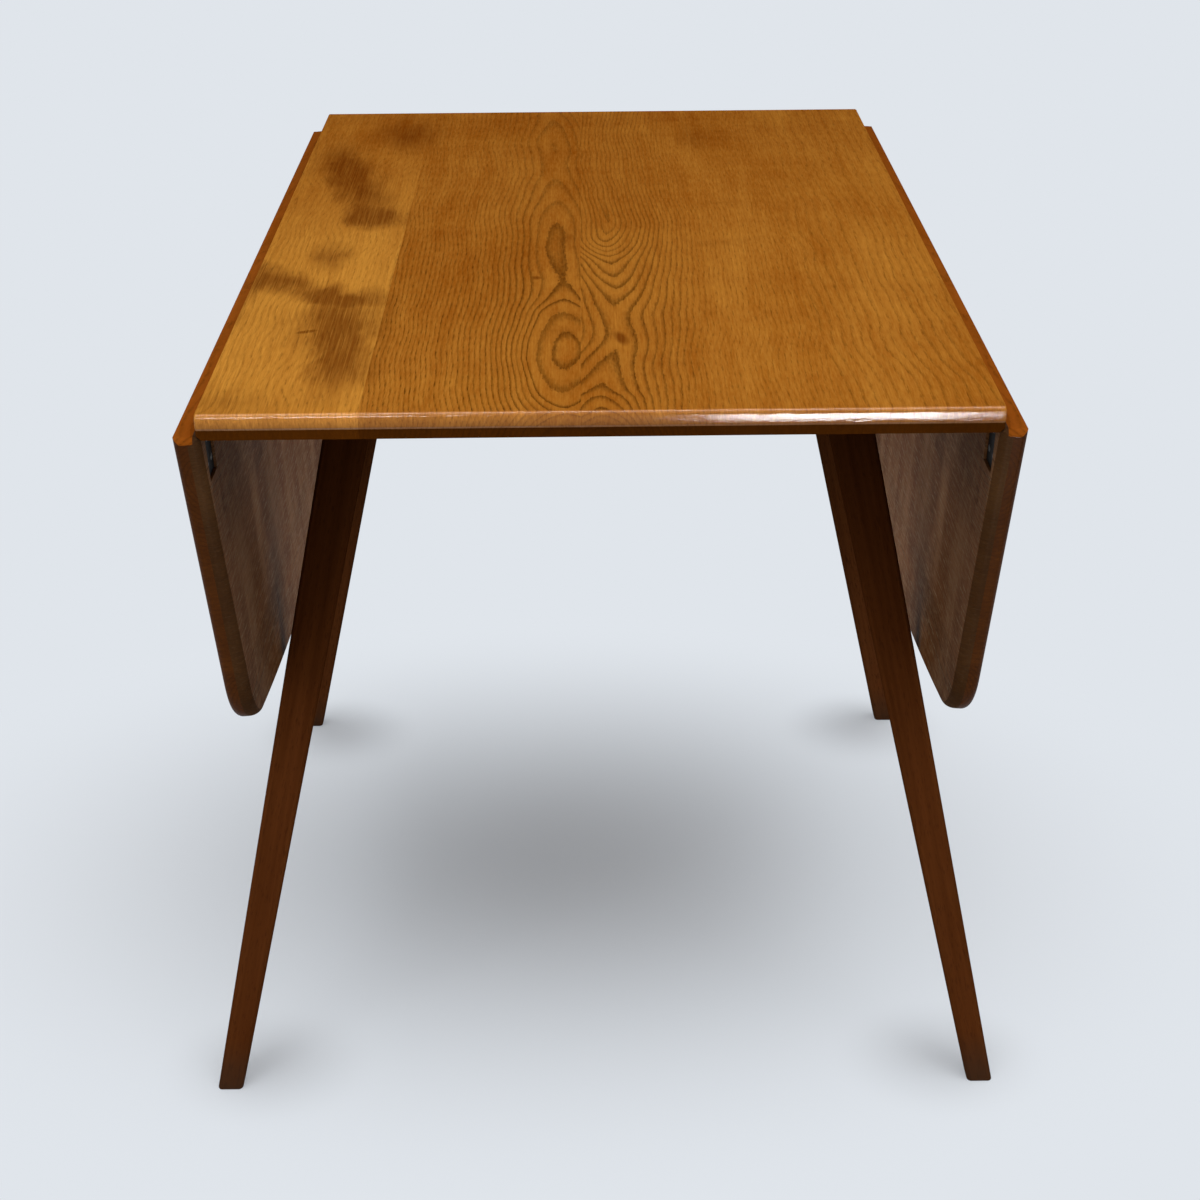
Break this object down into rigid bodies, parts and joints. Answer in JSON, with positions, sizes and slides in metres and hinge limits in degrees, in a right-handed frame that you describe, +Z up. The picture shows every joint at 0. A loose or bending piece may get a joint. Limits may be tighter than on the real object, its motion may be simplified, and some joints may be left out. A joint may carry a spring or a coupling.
{
  "type": "drop-leaf dining table",
  "caption": "Wooden dining table with a fixed centre board, hinged drop leaves with bowed outer edges, splayed tapered legs and folding leaf stays.",
  "frame": {"origin": "on the floor under the middle of the top", "axes": "+Z up, +Y along the top's length away from the pictured end, +X across the leaves to the right as pictured"},
  "size_m": [0.7326, 1.13, 0.725],
  "materials": {
    "elm_top": "satin lacquered elm, golden brown",
    "dark_beech": "satin lacquered beech, dark brown",
    "rail_beech": "plain beech, brown",
    "black_iron": "black japanned iron",
    "zinc_steel": "zinc-plated steel"
  },
  "bodies": {
    "frame": {"centre_top": "elm_top", "leg_front_left": "dark_beech", "leg_front_right": "dark_beech", "leg_back_left": "dark_beech", "leg_back_right": "dark_beech", "rail_front": "rail_beech", "rail_back": "rail_beech", "rail_left": "rail_beech", "rail_right": "rail_beech", "hinge_left_front_plate": "black_iron", "hinge_left_front_pin": "black_iron", "hinge_left_middle_plate": "black_iron", "hinge_left_middle_pin": "black_iron", "hinge_left_back_plate": "black_iron", "hinge_left_back_pin": "black_iron", "stay_left_top_bracket": "zinc_steel", "stay_left_top_pin": "zinc_steel", "hinge_right_front_plate": "black_iron", "hinge_right_front_pin": "black_iron", "hinge_right_middle_plate": "black_iron", "hinge_right_middle_pin": "black_iron", "hinge_right_back_plate": "black_iron", "hinge_right_back_pin": "black_iron", "stay_right_top_bracket": "zinc_steel", "stay_right_top_pin": "zinc_steel"},
    "leaf_left": {"leaf_left": "elm_top", "hinge_left_front_flap": "black_iron", "hinge_left_middle_flap": "black_iron", "hinge_left_back_flap": "black_iron", "stay_left_leaf_bracket": "zinc_steel", "stay_left_leaf_pin": "zinc_steel"},
    "stay_left_inner": {"stay_left_inner_link": "zinc_steel", "stay_left_elbow_pin": "zinc_steel"},
    "stay_left_outer": {"stay_left_outer_link": "zinc_steel"},
    "leaf_right": {"leaf_right": "elm_top", "hinge_right_front_flap": "black_iron", "hinge_right_middle_flap": "black_iron", "hinge_right_back_flap": "black_iron", "stay_right_leaf_bracket": "zinc_steel", "stay_right_leaf_pin": "zinc_steel"},
    "stay_right_inner": {"stay_right_inner_link": "zinc_steel", "stay_right_elbow_pin": "zinc_steel"},
    "stay_right_outer": {"stay_right_outer_link": "zinc_steel"}
  },
  "joints": [
    {"name": "leaf_left_hinge", "type": "hinge", "parent": "frame", "child": "leaf_left", "pos_m": [-0.31525, 0, 0.7064], "axis": [0, 1, 0], "range_deg": [0, 94]},
    {"name": "stay_left_inner_pivot", "type": "hinge", "parent": "frame", "child": "stay_left_inner", "pos_m": [-0.23525, 0.1, 0.6854], "axis": [0, 1, 0], "range_deg": [0, 94]},
    {"name": "stay_left_outer_pivot", "type": "hinge", "parent": "leaf_left", "child": "stay_left_outer", "pos_m": [-0.28872, 0.1, 0.62806], "axis": [0, 1, 0], "range_deg": [-94, 0]},
    {"name": "leaf_right_hinge", "type": "hinge", "parent": "frame", "child": "leaf_right", "pos_m": [0.31525, 0, 0.7064], "axis": [0, -1, 0], "range_deg": [0, 94]},
    {"name": "stay_right_inner_pivot", "type": "hinge", "parent": "frame", "child": "stay_right_inner", "pos_m": [0.23525, 0.1, 0.6854], "axis": [0, -1, 0], "range_deg": [0, 94]},
    {"name": "stay_right_outer_pivot", "type": "hinge", "parent": "leaf_right", "child": "stay_right_outer", "pos_m": [0.28872, 0.1, 0.62806], "axis": [0, -1, 0], "range_deg": [-94, 0]}
  ],
  "couplings": [
    {"joint": "stay_left_inner_pivot", "follows": "leaf_left_hinge", "ratio": 1},
    {"joint": "stay_left_outer_pivot", "follows": "leaf_left_hinge", "ratio": -1},
    {"joint": "stay_right_inner_pivot", "follows": "leaf_right_hinge", "ratio": 1},
    {"joint": "stay_right_outer_pivot", "follows": "leaf_right_hinge", "ratio": -1}
  ]
}
